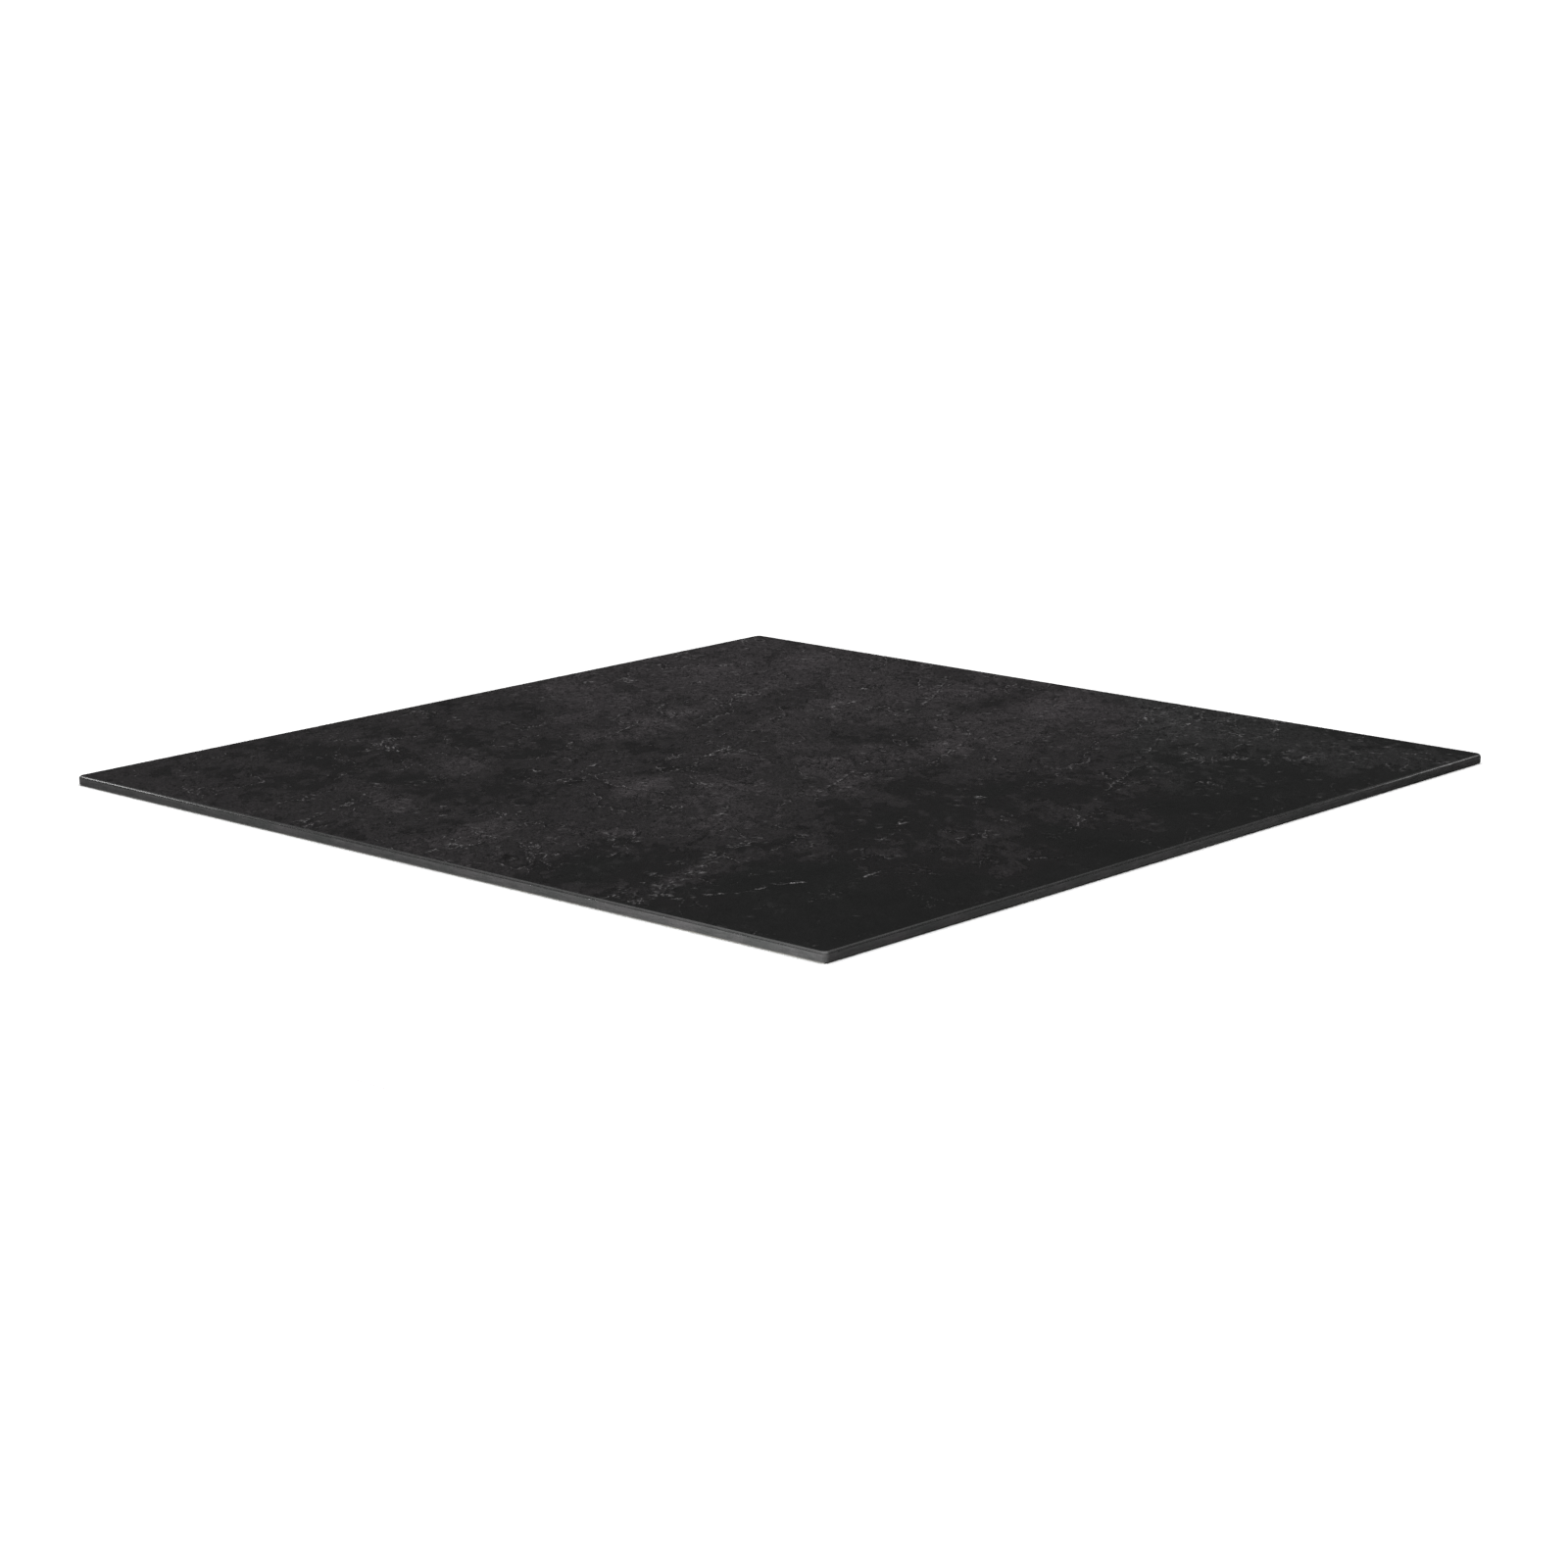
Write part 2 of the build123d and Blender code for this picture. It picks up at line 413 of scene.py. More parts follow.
def layer_tone_and_painted_shade(x, y):
    """How pale or dark the stone's layers are at a place, with painted shade darker towards the front and
    at the back left.
    """
    warp = 11 * MM
    px = x + warp * ripple(x, y, 38 * MM, 11.0, 6)
    py = y + warp * ripple(x, y, 38 * MM, 23.0, 6)
    across, back = px / SIDE + 0.5, py / SIDE + 0.5
    # Painted shade: darker towards the front and at the back left, paler behind
    tone = FRONT_PAINTED_SHADE + (LEFT_PAINTED_LEVEL - FRONT_PAINTED_SHADE) * smooth(0.16, 0.47, back)
    tone += (RIGHT_PAINTED_LEVEL - LEFT_PAINTED_LEVEL) * smooth(0.45, 0.72, across) * smooth(-0.2, 0.5, back)
    tone += BACK_LEFT_PAINTED_SHADE * smooth(0.62, 0.40, across) * smooth(0.48, 0.62, back)
    for cx, cy, length, width, turn, amount in PATCHES:
        mx, my = percent(cx, cy)
        dx, dy = px - mx, py - my
        c, s = math.cos(math.radians(turn)), math.sin(math.radians(turn))
        a = (dx * c + dy * s) / (length / 100 * SIDE)
        b = (dy * c - dx * s) / (width / 100 * SIDE)
        reach = a * a + b * b
        if reach < 4:
            tone += amount * math.exp(-1.2 * reach ** 2)
    return tone


def coolness(x, y, tone):
    """1 near the right-hand corner and in dark layers, where the stone has no brown in it, else 0."""
    return max(smooth(0.42, 0.60, (x - y) / SIDE), smooth(-0.25, -0.65, tone))


def vein_relief(distance, strength):
    """A vein's section: a low step with a raised lip and a groove at its foot, in metres."""
    d = distance / MM
    step = 0.045 * math.tanh(d / 0.8) * math.exp(-abs(d) / 3.0)
    lip = 0.06 * math.exp(-((d - 0.4) / 0.6) ** 2)
    groove = -0.07 * math.exp(-((d + 0.9) / 0.6) ** 2)
    return (step + lip + groove) * strength * MM


def face_points(veins, chips):
    """Mesh points inside the work face beside the chips' own: rows along the veins, and an even spread."""
    limit = SIDE / 2 - TOP_ARRIS - 1.1 * MM
    taken = set()
    places = []
    for spot in veins.mesh_rows():
        cell = (round(spot.x / (0.7 * MM)), round(spot.y / (0.7 * MM)))
        if cell not in taken and max(abs(spot.x), abs(spot.y)) < limit and chips.clear(spot):
            taken.add(cell)
            places.append(spot)
    shuffle = random.Random(7)
    count = int(2 * limit / FACE_SPACING)
    pitch = 2 * limit / count
    beside = (VEIN_ROWS[-1] + 0.7) * MM
    for row in range(count + 1):
        for column in range(count + 1):
            x = -limit + pitch * (column + 0.5 * (row % 2)) + pitch * 0.25 * (shuffle.random() - 0.5)
            y = -limit + pitch * row + pitch * 0.25 * (shuffle.random() - 0.5)
            if max(abs(x), abs(y)) > limit - 0.3 * pitch or abs(veins.nearest(x, y)[0]) < beside:
                continue
            if chips.clear(Vector((x, y))):
                places.append(Vector((x, y)))
    return places


def edge_rings():
    """The rings of the stone's edge from the work face down, as (inset, depth below TOP) in millimetres."""
    arris = TOP_ARRIS / MM
    start = FACE_DEPTH / MM
    deep = (TOP - PLATE_LOW.z) / MM
    foot = BOTTOM_ARRIS / MM
    return [(arris + 0.25, start), (arris, start + 0.04), (arris * 0.55, start + 0.42 * arris),
            (0.14, start + 0.84 * arris), (0.02, start + arris + 0.05), (0.0, start + arris + 0.5),
            (0.0, deep * 0.55), (0.0, deep - foot - 0.3), (0.02, deep - foot),
            (foot * 0.3, deep - foot * 0.3), (foot, deep)]


def face_height(x, y, tone, veins):
    """Height of the riven face at a place, flattening towards the bevels."""
    distance, strength = veins.nearest(x, y)
    height = 0.06 * ripple(x, y, 70 * MM, 4.0, 3) + 0.05 * ripple(x, y, 14 * MM, 8.0, 4) + 0.03 * tone
    height *= MM
    if abs(distance) < VEIN_REACH:
        height += vein_relief(distance, strength)
    margin = max(0.0, min(1.0, (SIDE / 2 - max(abs(x), abs(y)) - TOP_ARRIS) / (6 * MM)))
    return TOP - FACE_DEPTH + margin * height


def make_stone():
    """The granite plate as one closed mesh: riven face, bevelled and ground edge, flat back."""
    veins = Veins()
    chips = Chips(veins)
    rings = edge_rings()
    outline = ring(rings[0][0] * MM)
    count = len(outline)
    loop = [(i, (i + 1) % count) for i in range(count)]
    places = outline + face_points(veins, chips)
    # A chip's tone is a pale grain made brighter as a painted glint; a pit's tone is painted shade
    raised = {}       # input point to (rise above the face, chip tone, whether it is a chip's tip)
    for index, spot in enumerate(chips.spots):
        lean = Vector((math.cos(index * 1.7), math.sin(index * 1.7))) * 0.3 * chips.radii[index]
        raised[len(places)] = (chips.rises[index], chips.tones[index], True)
        places.append(spot + lean)
        for corner in chips.corners(index):
            raised[len(places)] = (0.0, 0.3 * chips.tones[index], False)
            places.append(corner)
    flat, _, triangles, sources, *_ = delaunay_2d_cdt(places, loop, [], 1, 1e-7)

    vertices, tones, gaps, strengths, chip_tones = [], [], [], [], []
    tips = set()
    for index, place in enumerate(flat):
        x, y = place
        distance, strength = veins.nearest(x, y)
        tone = layer_tone_and_painted_shade(x, y)
        rise, chip_tone, tip = raised.get(sources[index][0], (0.0, 0.0, False))
        if tip:
            tips.add(index)
        vertices.append((x, y, min(face_height(x, y, tone, veins) + rise, TOP)))
        tones.append(tone)
        gaps.append(max(-VEIN_REACH, min(VEIN_REACH, distance)) / MM)
        strengths.append(strength)
        chip_tones.append(chip_tone)
    faces = [list(t) for t in triangles]

    previous = list(range(count))
    for number, (inset, depth) in enumerate(rings[1:], start=1):
        start = len(vertices)
        for x, y in ring(inset * MM):
            worn = 0.0
            if number < 4:
                worn = 0.10 * ripple(x, y, 9 * MM, 31.0, 3) + 0.06 * ripple(x, y, 60 * MM, 37.0, 2)
            inward = Vector((x, y)).normalized() * worn * MM
            vertices.append((x - inward.x, y - inward.y, TOP - depth * MM))
            tones.append(0.0)
            gaps.append(VEIN_REACH / MM)
            strengths.append(0.0)
            chip_tones.append(0.0)
        current = list(range(start, start + count))
        for a in range(count):
            b = (a + 1) % count
            faces.append([previous[a], previous[b], current[b], current[a]])
        previous = current
    faces.append(list(reversed(previous)))

    obj = finish_mesh("granite_plate_stone", vertices, faces)
    cools = [coolness(x, y, tone) for (x, y, _), tone in zip(vertices, tones)]
    # tone holds the layers' paleness together with the painted shade over the face
    layers = (("tone", tones), ("cool", cools), ("vein_gap", gaps), ("vein_strength", strengths),
              ("chip", chip_tones))
    for name, values in layers:
        layer = obj.data.attributes.new(name, "FLOAT", "POINT")
        layer.data.foreach_set("value", values)
    face_count = len(triangles)
    bevel_end = face_count + BEVEL_STRIPS * count
    for index, polygon in enumerate(obj.data.polygons):
        polygon.material_index = 0 if index < face_count else 1 if index < bevel_end else 2
        if index < face_count and tips.intersection(polygon.vertices):
            polygon.use_smooth = False
    obj.data.polygons[-1].use_smooth = False
    return obj


# --------------------------------------------------------------------------------------- backing's shape

# Points round a yarn, as shares of its width from the middle and of its height
YARN_SECTION = [(-0.5, 0.5), (-0.28, 0.04), (0.28, 0.04), (0.5, 0.5), (0.0, 1.0)]
YARN_STEPS = 60
WARP_DROP = 0.04 * MM          # how far the warp was pressed down onto the weft
RIM = 1.9 * MM                 # the coat's solid border, outside the net

# Heights of the resin's underside: between the yarns, along the warp, along the weft and where two cross
OPEN_LEVEL, WARP_LEVEL = 0.38 * MM, 0.335 * MM
WEFT_LEVEL, CROSS_LEVEL = 0.23 * MM, 0.20 * MM
YARN_REACH = 0.1               # half the width of a yarn's place in the resin, in pitches of the net


def make_yarns(name, node, along_y, drop=0.0):
    """One layer of the net: flattened yarns that sway a little and vary in width, side by side."""
    low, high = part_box(node)
    first, last = (low.x, high.x) if along_y else (low.y, high.y)
    start, end = (low.y, high.y) if along_y else (low.x, high.x)
    count = 1 + round((last - first - YARN_WIDTH) / NET_PITCH)
    thickness = high.z - low.z
    sides = len(YARN_SECTION)
    vertices, faces = [], []
    for number in range(count):
        centre = first + YARN_WIDTH / 2 + number * NET_PITCH
        base = len(vertices)
        for step in range(YARN_STEPS + 1):
            reach = start + (end - start) * step / YARN_STEPS
            sway = 0.14 * MM * ripple(reach, 0, 70 * MM, 1.9 * number + low.z / MM, 3)
            width = YARN_WIDTH * (1.0 + 0.12 * ripple(reach, 9, 25 * MM, 2.3 * number, 2))
            lift = 0.012 * MM * ripple(reach, 5, 20 * MM, 3.1 * number, 2) - drop
            for u, v in YARN_SECTION:
                side = centre + sway + u * width
                z = max(0.0, low.z + lift + v * thickness)
                vertices.append((side, reach, z) if along_y else (reach, side, z))
        for step in range(YARN_STEPS):
            a = base + step * sides
            for i in range(sides):
                j = (i + 1) % sides
                faces.append([a + i, a + j, a + sides + j, a + sides + i])
        faces.append([base + i for i in range(sides)])
        faces.append([base + YARN_STEPS * sides + i for i in reversed(range(sides))])
    return finish_mesh(name, vertices, faces)


def resin_level(x, y):
    """Height of the resin's underside: a solid rim, and inside it a skin that sags to each yarn."""
    if max(abs(x), abs(y)) > COAT_HIGH.x - RIM:
        return (0.025 + 0.015 * ripple(x, y, 12 * MM, 61.0, 3)) * MM
    by_warp = abs(x / NET_PITCH - round(x / NET_PITCH)) < YARN_REACH
    by_weft = abs(y / NET_PITCH - round(y / NET_PITCH)) < YARN_REACH
    level = OPEN_LEVEL
    if by_warp and by_weft:
        level = CROSS_LEVEL
    elif by_warp:
        level = WARP_LEVEL
    elif by_weft:
        level = WEFT_LEVEL
    return level + 0.015 * MM * ripple(x, y, 30 * MM, 67.0, 3)


def make_resin():
    """The resin coat as one closed mesh, flat against the stone and quilted by the net underneath."""
    half = COAT_HIGH.x
    netted = half - 2 * MM
    cells = round(2 * netted / (NET_PITCH / 2))
    inner = [-netted + 2 * netted * i / cells for i in range(cells + 1)]
    lines = [-half, -half + 0.3 * MM, -half + 1.4 * MM] + inner + [half - 1.4 * MM, half - 0.3 * MM, half]
    size = len(lines)
    radius = CORNER_RADIUS - BOTTOM_ARRIS
    vertices = []
    for y in lines:
        for x in lines:
            z = resin_level(x, y)
            dx, dy = abs(x) - (half - radius), abs(y) - (half - radius)
            if dx > 0 and dy > 0:       # draws the square corner of the grid in to the rounded one
                pull = max(dx, dy) / math.hypot(dx, dy)
                x = math.copysign(half - radius + dx * pull, x)
                y = math.copysign(half - radius + dy * pull, y)
            vertices.append((x, y, z))
    faces = []
    for row in range(size - 1):
        for column in range(size - 1):
            a = row * size + column
            faces.append([a, a + size, a + size + 1, a + 1])
    outline = list(range(size))
    outline += [row * size + size - 1 for row in range(1, size)]
    outline += [(size - 1) * size + i for i in range(size - 2, -1, -1)]
    outline += [row * size for row in range(size - 2, 0, -1)]
    start = len(vertices)
    for i in outline:
        x, y, _ = vertices[i]
        vertices.append((x, y, COAT_HIGH.z))
    total = len(outline)
    for i in range(total):
        j = (i + 1) % total
        faces.append([outline[i], outline[j], start + j, start + i])
    faces.append(list(range(start, start + total)))
    obj = finish_mesh("resin_coat_film", vertices, faces)
    rim = obj.data.attributes.new("rim", "FLOAT", "POINT")
    rim.data.foreach_set("value", [float(max(abs(x), abs(y)) > half - RIM) for x, y, _ in vertices])
    for polygon in list(obj.data.polygons)[-total - 1:]:      # the walls and the flat upper side
        polygon.use_smooth = False
    return obj


# --------------------------------------------------------------------------------------------- materials

class Shader:
    """A material's nodes, one call at a time. A value is a number, a colour or another node's output."""

    def __init__(self, name):
        self.material = bpy.data.materials.new(name)
        self.material.use_nodes = True
        self.tree = self.material.node_tree
        self.surface = self.tree.nodes["Principled BSDF"]
        self.place = self.node("ShaderNodeTexCoord").outputs["Object"]

    def feed(self, socket, value):
        if isinstance(value, bpy.types.NodeSocket):
            self.tree.links.new(value, socket)
        else:
            socket.default_value = value

    def node(self, kind, inputs=None, **settings):
        made = self.tree.nodes.new(kind)
        for name, value in settings.items():
            setattr(made, name, value)
        for key, value in (inputs or {}).items():
            self.feed(made.inputs[key], value)
        return made

    def math(self, operation, a, b=0.0):
        return self.node("ShaderNodeMath", {0: a, 1: b}, operation=operation).outputs[0]

    def plus(self, a, b):
        return self.math("ADD", a, b)

    def times(self, a, b):
        return self.math("MULTIPLY", a, b)

    def noise(self, size, detail=2.0, roughness=0.5, place=None):
        inputs = {"Vector": place or self.place, "Scale": 1 / size}
        inputs.update({"Detail": detail, "Roughness": roughness})
        return self.node("ShaderNodeTexNoise", inputs).outputs["Fac"]

    def cells(self, size):
        inputs = {"Vector": self.place, "Scale": 1 / size}
        return self.node("ShaderNodeTexVoronoi", inputs).outputs["Distance"]

    def remap(self, value, low, high, to_low=0.0, to_high=1.0):
        inputs = {"Value": value, "From Min": low, "From Max": high, "To Min": to_low, "To Max": to_high}
        return self.node("ShaderNodeMapRange", inputs, interpolation_type="SMOOTHSTEP").outputs[0]

    def mix(self, share, a, b):
        made = self.node("ShaderNodeMix", data_type="RGBA")
        self.feed(made.inputs["Factor"], share)
        self.feed(made.inputs[6], a)
        self.feed(made.inputs[7], b)
        return made.outputs[2]

    def scale_colour(self, colour, amount):
        made = self.node("ShaderNodeVectorMath", {0: colour}, operation="SCALE")
        self.feed(made.inputs["Scale"], amount)
        return made.outputs[0]

    def attribute(self, name):
        return self.node("ShaderNodeAttribute", attribute_name=name).outputs["Fac"]

    def drawn_out(self, x, y, z, turn=0.0):
        """Texture places that make a pattern x, y and z times as long, along axes turned about Z."""
        made = self.node("ShaderNodeMapping", {"Vector": self.place}, vector_type="TEXTURE")
        made.inputs["Rotation"].default_value = (0, 0, math.radians(turn))
        made.inputs["Scale"].default_value = (x, y, z)
        return made.outputs[0]

    def bump(self, height, distance, strength):
        inputs = {"Height": height, "Distance": distance, "Strength": strength}
        return self.node("ShaderNodeBump", inputs).outputs[0]

    def set(self, **sockets):
        for name, value in sockets.items():
            self.feed(self.surface.inputs[name.replace("_", " ")], value)


def grey(value, warmth=0.0):
    """A near-neutral colour; warmth above 0 leans to a purplish brown and below 0 to green."""
    return (value * (1 + warmth), value * (1 - 0.5 * warmth), value * (1 + 0.2 * warmth), 1.0)


LINEATION = 42      # direction that the stone's grain is drawn out in, in degrees from X


def riven_granite():
    """The work face: dark stone in cloudy layers, grainy where pale, with hair cracks and chipped veins."""
    s = Shader("riven_granite")
    long_grain = s.drawn_out(1.9, 1.0, 1.0, LINEATION)
    tone = s.attribute("tone")
    cloud = s.plus(s.noise(19 * MM, 8, 0.62, long_grain), -0.5)
    flow = s.plus(s.noise(8 * MM, 6, 0.7, long_grain), -0.5)
    layers = s.plus(s.times(tone, 1.32), s.plus(s.times(cloud, 1.55), s.times(flow, 1.7)))

    # Three cleavage levels with ragged edges, over a soft change
    steps = s.plus(s.remap(layers, -0.50, -0.32), s.remap(layers, 0.02, 0.18))
    steps = s.plus(steps, s.remap(layers, 0.5, 0.68))
    pale = s.plus(s.times(steps, 0.19), s.times(s.remap(layers, -1.3, 1.4), 0.43))
    warm = s.mix(pale, grey(0.0064, 0.03), grey(0.0275, 0.07))
    cool = s.mix(pale, grey(0.0062, -0.015), grey(0.0268, 0.015))
    hue = s.plus(s.noise(60 * MM, 5, 0.6, long_grain), -0.5)
    colour = s.mix(s.remap(s.plus(s.attribute("cool"), s.times(hue, 2.0)), 0.25, 0.75), warm, cool)

    # Grain: strong where the stone is pale, and gathered in clusters
    grain = s.plus(s.noise(2.4 * MM, 4, 0.8, long_grain), -0.5)
    fine = s.plus(s.noise(1.1 * MM, 2, 0.6, long_grain), -0.5)
    clusters = s.remap(s.noise(11 * MM, 4, 0.6), 0.40, 0.62, 0.55, 1.35)
    calm = s.remap(tone, -0.6, -0.1, 0.75, 1.0)
    swing = s.times(s.plus(grain, s.times(fine, 0.8)), s.times(calm, s.remap(pale, 0.05, 0.55, 1.2, 3.6)))
    colour = s.scale_colour(colour, s.math("MAXIMUM", s.plus(1.0, s.times(swing, clusters)), 0.2))

    # Painted shadow lines where one layer ends over the next
    painted_step_shadows = 0.0
    for level in (-0.40, 0.11, 0.60):
        off = s.math("ABSOLUTE", s.plus(layers, -level))
        painted_step_shadows = s.plus(painted_step_shadows, s.remap(off, 0.07, 0.02))
    painted_step_shadows = s.times(painted_step_shadows, s.remap(s.noise(14 * MM, 3), 0.46, 0.56))
    colour = s.scale_colour(colour, s.plus(1.0, s.times(painted_step_shadows, -0.55)))

    # Hair cracks that wander over the face: dotted with pale grains, each with painted shade along one side
    dots = s.remap(s.noise(2.0 * MM, 3, 0.7, long_grain), 0.50, 0.58)
    for size, width, reach in ((80 * MM, 0.005, 0.46), (40 * MM, 0.008, 0.52)):
        field = s.plus(s.noise(size, 4, 0.5, long_grain), -0.5)
        where = s.remap(s.noise(0.7 * size, 3, 0.5), reach, reach + 0.07)
        where = s.times(where, s.remap(pale, 0.1, 0.5, 0.25, 1.0))
        crack = s.times(where, s.remap(s.math("ABSOLUTE", field), width, 0.0))
        shade = s.times(where, s.remap(s.math("ABSOLUTE", s.plus(field, -2 * width)), 1.6 * width, 0.0))
        colour = s.scale_colour(colour, s.plus(1.0, s.times(shade, -0.5)))
        colour = s.mix(s.times(crack, s.times(dots, 0.85)), colour, grey(0.12, 0.03))

    # Veins: a faint broken hairline with painted shade along the groove at one side, and the pale chips and
    # the pits that the mesh has
    gap = s.attribute("vein_gap")
    strength = s.attribute("vein_strength")
    # Painted shade in the groove beside the vein
    groove = s.remap(s.math("ABSOLUTE", s.plus(gap, s.plus(1.0, s.times(grain, 3.0)))), 0.9, 0.2)
    groove = s.times(groove, s.remap(strength, 0.2, 0.9))
    colour = s.scale_colour(colour, s.plus(1.0, s.times(groove, -0.45)))
    line = s.remap(s.plus(s.math("ABSOLUTE", gap), s.times(grain, 3.0)), 0.9, 0.0)
    line = s.times(line, s.remap(strength, 0.1, 0.6))
    specks = s.remap(s.noise(1.6 * MM, 3, 0.7), 0.52, 0.58)
    colour = s.mix(s.times(line, s.times(specks, 0.36)), colour, grey(0.10, 0.03))
    chip = s.attribute("chip")
    # Chips: pale grains, partly painted glints; pits: darkened as painted shade
    colour = s.mix(s.math("MAXIMUM", chip, 0.0), colour, grey(0.45, 0.02))
    colour = s.scale_colour(colour, s.plus(1.0, s.times(s.math("MINIMUM", chip, 0.0), 0.85)))

    rough = s.remap(pale, 0.0, 1.0, 0.55, 0.7)
    height = s.plus(s.times(steps, 0.35), s.times(grain, 0.9))
    s.set(Base_Color=colour, Roughness=rough, Normal=s.bump(height, 0.4 * MM, 0.6))
    s.set(Specular_IOR_Level=0.06)
    return s.material


def honed_granite():
    """The bevels: the same stone honed to a satin finish, with marks of the wheel along them."""
    s = Shader("honed_granite")
    grain = s.noise(1.0 * MM, 3, 0.6)
    wheel = s.noise(0.5 * MM, 2, 0.5, s.drawn_out(14, 14, 1))
    swing = s.plus(s.times(s.plus(grain, -0.5), 1.2), s.times(s.plus(wheel, -0.5), 0.7))
    colour = s.mix(s.remap(s.noise(30 * MM, 5, 0.6), 0.35, 0.65), grey(0.0178, -0.02), grey(0.0222, 0.02))
    colour = s.scale_colour(colour, s.plus(1.0, swing))
    s.set(Base_Color=colour, Roughness=s.remap(grain, 0.3, 0.7, 0.23, 0.31),
          Normal=s.bump(s.plus(grain, wheel), 0.05 * MM, 0.3))
    s.set(Specular_IOR_Level=0.45)
    return s.material


def sawn_granite():
    """The edge: sawn and matt, with faint saw lines. Painted shade makes it darker at its foot and towards
    the right-hand corner.
    """
    s = Shader("sawn_granite")
    cloud = s.noise(30 * MM, 5, 0.6)
    grain = s.noise(1.2 * MM, 4, 0.7)
    saw = s.noise(0.7 * MM, 2, 0.5, s.drawn_out(12, 12, 1))
    colour = s.mix(s.remap(cloud, 0.35, 0.65), grey(0.039, -0.02), grey(0.047, 0.02))
    parts = s.node("ShaderNodeSeparateXYZ", {0: s.place}).outputs
    height = parts["Z"]
    # Painted shade: darker towards the right-hand corner
    painted_corner_shade = s.times(s.remap(parts["X"], 0.02, 0.24), -0.42)
    # Painted shade: darker towards the foot, up to a ragged line
    painted_foot_shade = s.remap(s.plus(height, s.times(s.plus(cloud, -0.5), 4 * MM)), 4.4 * MM, 2.6 * MM)
    swing = s.plus(s.times(s.plus(grain, -0.5), 1.0), s.times(s.plus(saw, -0.5), 0.8))
    colour = s.scale_colour(colour, s.plus(s.plus(1.15, painted_corner_shade), s.plus(s.times(painted_foot_shade, -0.15), swing)))
    s.set(Base_Color=colour, Roughness=s.remap(grain, 0.3, 0.7, 0.52, 0.62),
          Normal=s.bump(s.plus(grain, saw), 0.08 * MM, 0.4))
    s.set(Specular_IOR_Level=0.01)
    return s.material


def backing_resin():
    """Cured epoxy over dark stone: olive grey and glossy, with brush marks, milky streaks and bubbles, and
    a plain grey border, darkened as painted shade where it shows under the stone's foot.
    """
    s = Shader("backing_resin")
    brushed = s.noise(2.5 * MM, 4, 0.6, s.drawn_out(14, 1, 1, 12))
    cloud = s.noise(60 * MM, 4, 0.6)
    thick = s.remap(s.plus(s.times(cloud, 0.7), s.times(brushed, 0.3)), 0.38, 0.62)
    colour = s.mix(thick, (0.085, 0.082, 0.066, 1), (0.21, 0.20, 0.155, 1))
    bubbles = s.times(s.remap(s.cells(3.1 * MM), 0.16, 0.08), s.remap(s.noise(20 * MM, 2), 0.5, 0.6))
    colour = s.mix(s.times(bubbles, 0.7), colour, (0.40, 0.39, 0.33, 1))
    # The border: a darker grey, as painted shade under the stone's foot
    rim = s.times(s.attribute("rim"), s.remap(brushed, 0.3, 0.7, 0.6, 0.95))
    colour = s.mix(rim, colour, (0.110, 0.109, 0.104, 1))
    s.set(Base_Color=colour, Roughness=s.remap(brushed, 0.35, 0.65, 0.20, 0.38),
          Normal=s.bump(s.plus(brushed, s.times(bubbles, 0.8)), 0.10 * MM, 0.5))
    s.set(Specular_IOR_Level=0.5)
    return s.material


def glass_yarn(name, turn):
    """White glass filaments wetted out with resin. turn is the way that they run, in degrees from X."""
    s = Shader(name)
    filaments = s.noise(0.16 * MM, 2, 0.6, s.drawn_out(40, 1, 1, turn))
    wet = s.noise(16 * MM, 4, 0.6)
    colour = s.mix(s.remap(wet, 0.40, 0.60), (0.30, 0.30, 0.26, 1), (0.60, 0.61, 0.57, 1))
    colour = s.scale_colour(colour, s.remap(filaments, 0.3, 0.7, 0.72, 1.15))
    s.set(Base_Color=colour, Roughness=s.remap(wet, 0.40, 0.60, 0.28, 0.46),
          Normal=s.bump(filaments, 0.04 * MM, 0.6))
    return s.material


# --------------------------------------------------------------------------------------- floor and lights

def make_floor():
    """A pale floor, wide enough to reach the horizon in every view."""
    mesh = bpy.data.meshes.new("floor")
    reach = 150.0
    mesh.from_pydata([(-reach, -reach, 0), (reach, -reach, 0), (reach, reach, 0), (-reach, reach, 0)], [],
                     [(0, 1, 2, 3)])
    obj = bpy.data.objects.new("floor", mesh)
    bpy.context.scene.collection.objects.link(obj)
    s = Shader("floor")
    s.set(Base_Color=(0.9, 0.9, 0.9, 1), Roughness=0.9)
    s.set(Specular_IOR_Level=0.1)
    mesh.materials.append(s.material)


def area_light(name, location, target, size, power):
    """A small lamp at location that faces target. size is its width and height, and power is in watts."""
    data = bpy.data.lights.new(name, "AREA")
    data.shape = "RECTANGLE"
    data.size, data.size_y = size
    data.energy = power
    light = bpy.data.objects.new(name, data)
    bpy.context.scene.collection.objects.link(light)
    light.location = location
    light.rotation_euler = (Vector(target) - Vector(location)).to_track_quat("-Z", "Y").to_euler()
    light.visible_camera = False


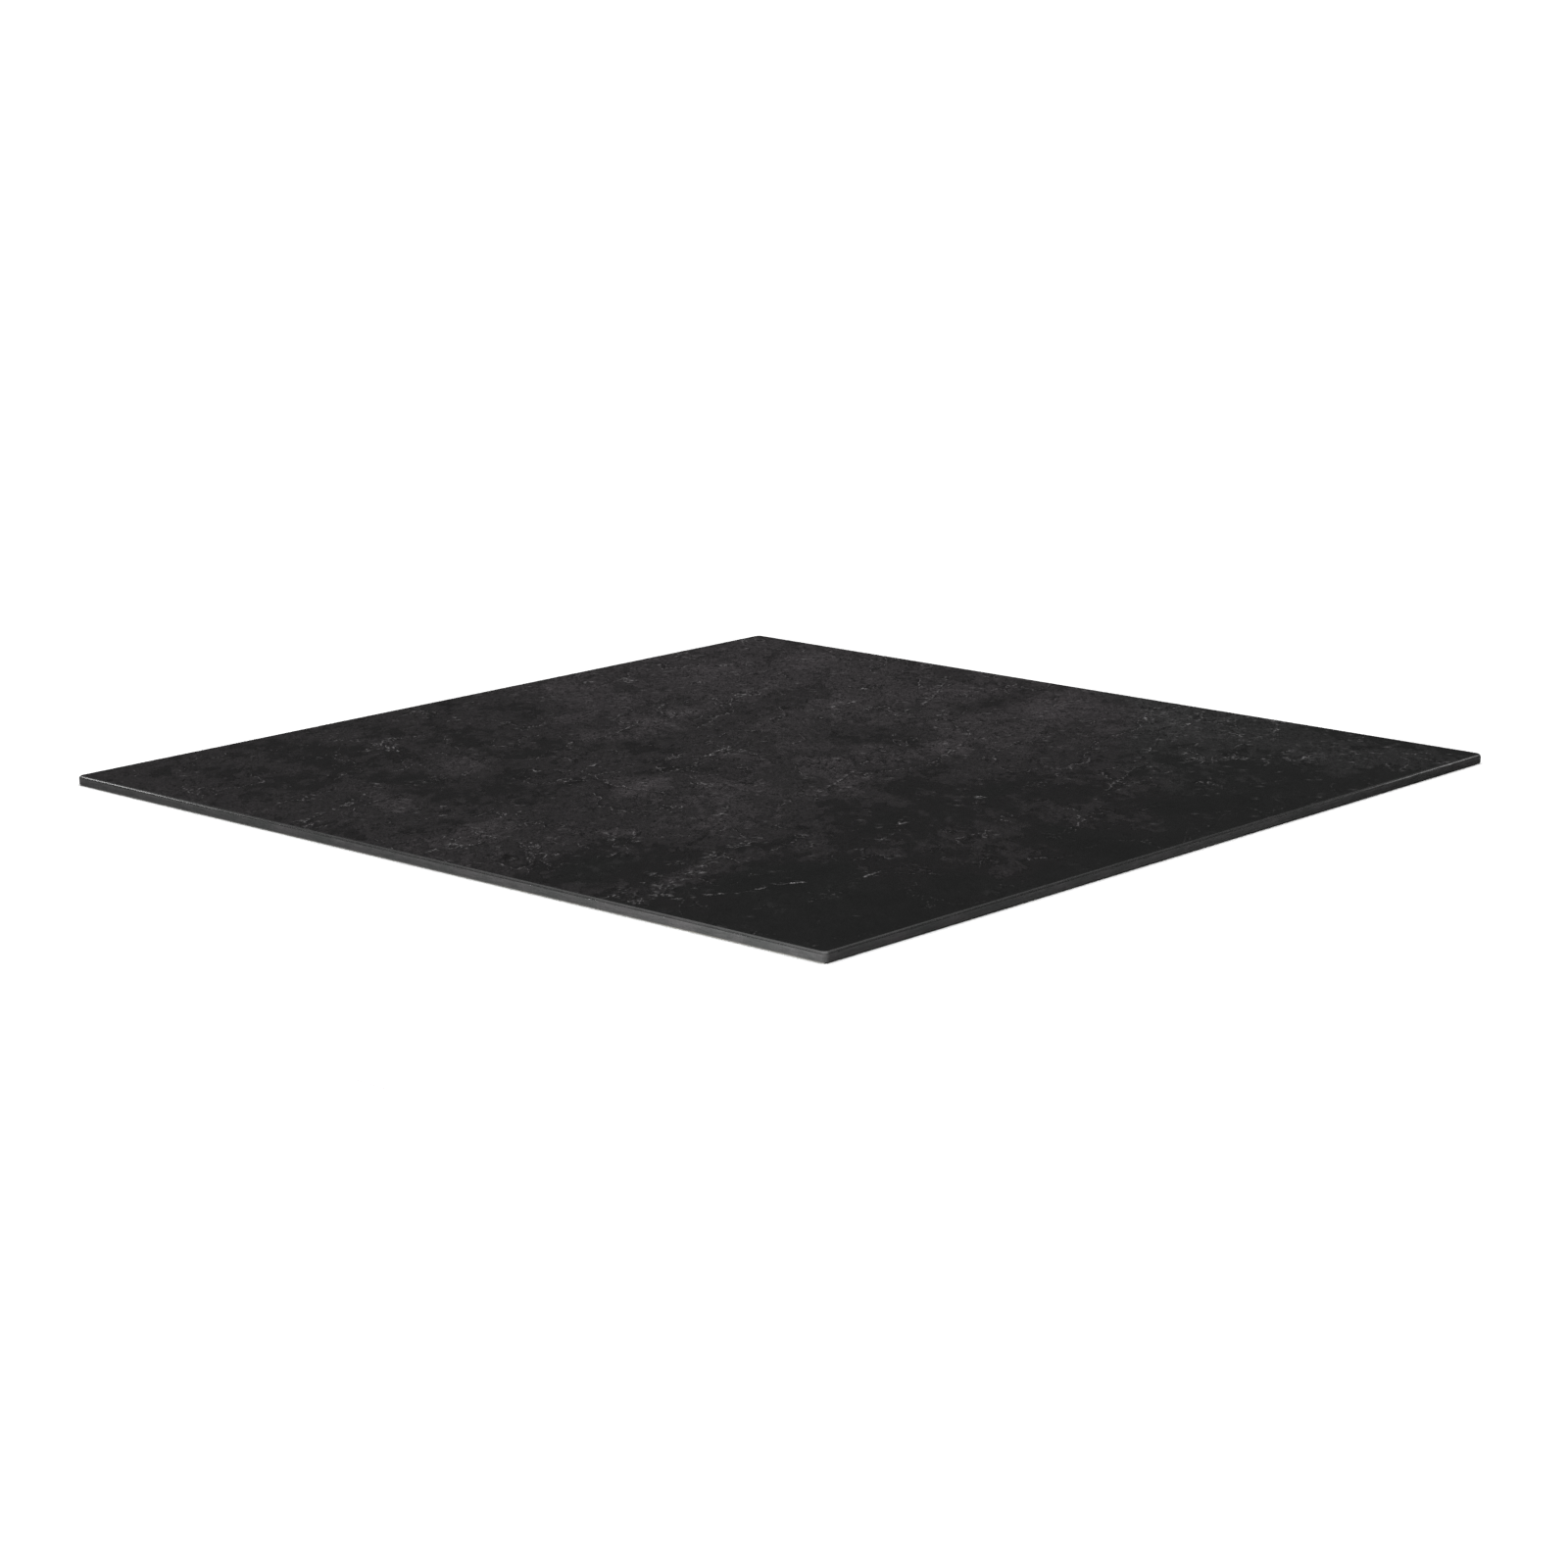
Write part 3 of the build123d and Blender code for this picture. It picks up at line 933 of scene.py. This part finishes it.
def make_world():
    """A soft white tent, dim at the horizon and bright overhead."""
    world = bpy.data.worlds.new("world")
    bpy.context.scene.world = world
    world.use_nodes = True
    tree = world.node_tree
    background = tree.nodes["Background"]
    place = tree.nodes.new("ShaderNodeTexCoord")
    parts = tree.nodes.new("ShaderNodeSeparateXYZ")
    ramp = tree.nodes.new("ShaderNodeMapRange")
    tree.links.new(place.outputs["Generated"], parts.inputs[0])
    tree.links.new(parts.outputs["Z"], ramp.inputs["Value"])
    ramp.interpolation_type = "SMOOTHSTEP"
    ramp.inputs["From Min"].default_value = 0.60
    ramp.inputs["From Max"].default_value = 0.95
    ramp.inputs["To Min"].default_value = 0.05
    ramp.inputs["To Max"].default_value = 3.2
    tree.links.new(ramp.outputs[0], background.inputs["Strength"])
    background.inputs["Color"].default_value = (1, 1, 1, 1)


make_camera()
make_world()
make_floor()

stone = make_stone()
for made in (riven_granite(), honed_granite(), sawn_granite()):
    stone.data.materials.append(made)

resin = make_resin()
resin.data.materials.append(backing_resin())
warp = make_yarns("net_warp_strands", "net_warp_yarns", along_y=True, drop=WARP_DROP)
warp.data.materials.append(glass_yarn("warp_glass", 90))
weft = make_yarns("net_weft_strands", "net_weft_yarns", along_y=False)
weft.data.materials.append(glass_yarn("weft_glass", 0))

for piece, node, slot in ((stone, "granite_plate", "granite"), (resin, "resin_coat", "backing_resin"),
                          (warp, "net_warp_yarns", "net_glass_fibre"),
                          (weft, "net_weft_yarns", "net_glass_fibre")):
    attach(piece, "root")
    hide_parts(node)

# Two low strips light the left edge from below the level of the work face, and three small lamps are where
# the bevels mirror them at the left-hand corner, near the front corner and at the right-hand corner
STRIP = (0.03, 0.004)
PANEL = (0.05, 0.05)
area_light("front_left", (-0.575, -0.284, 0.0035), (-0.3, -0.284, 0.0035), STRIP, 1.5)
area_light("left", (-0.575, 0.10, 0.0035), (-0.3, 0.10, 0.0035), STRIP, 0.32)
area_light("back_left", (-0.38, 0.62, 0.27), (-0.3, 0.3, 0), PANEL, 0.27)
area_light("front_edge", (-0.367, -0.139, 0.18), (-0.3, -0.29, 0), PANEL, 0.016)
area_light("right", (0.55, -0.379, 0.19), (0.28, -0.3, 0), PANEL, 0.055)

bpy.context.scene.view_settings.view_transform = "Standard"
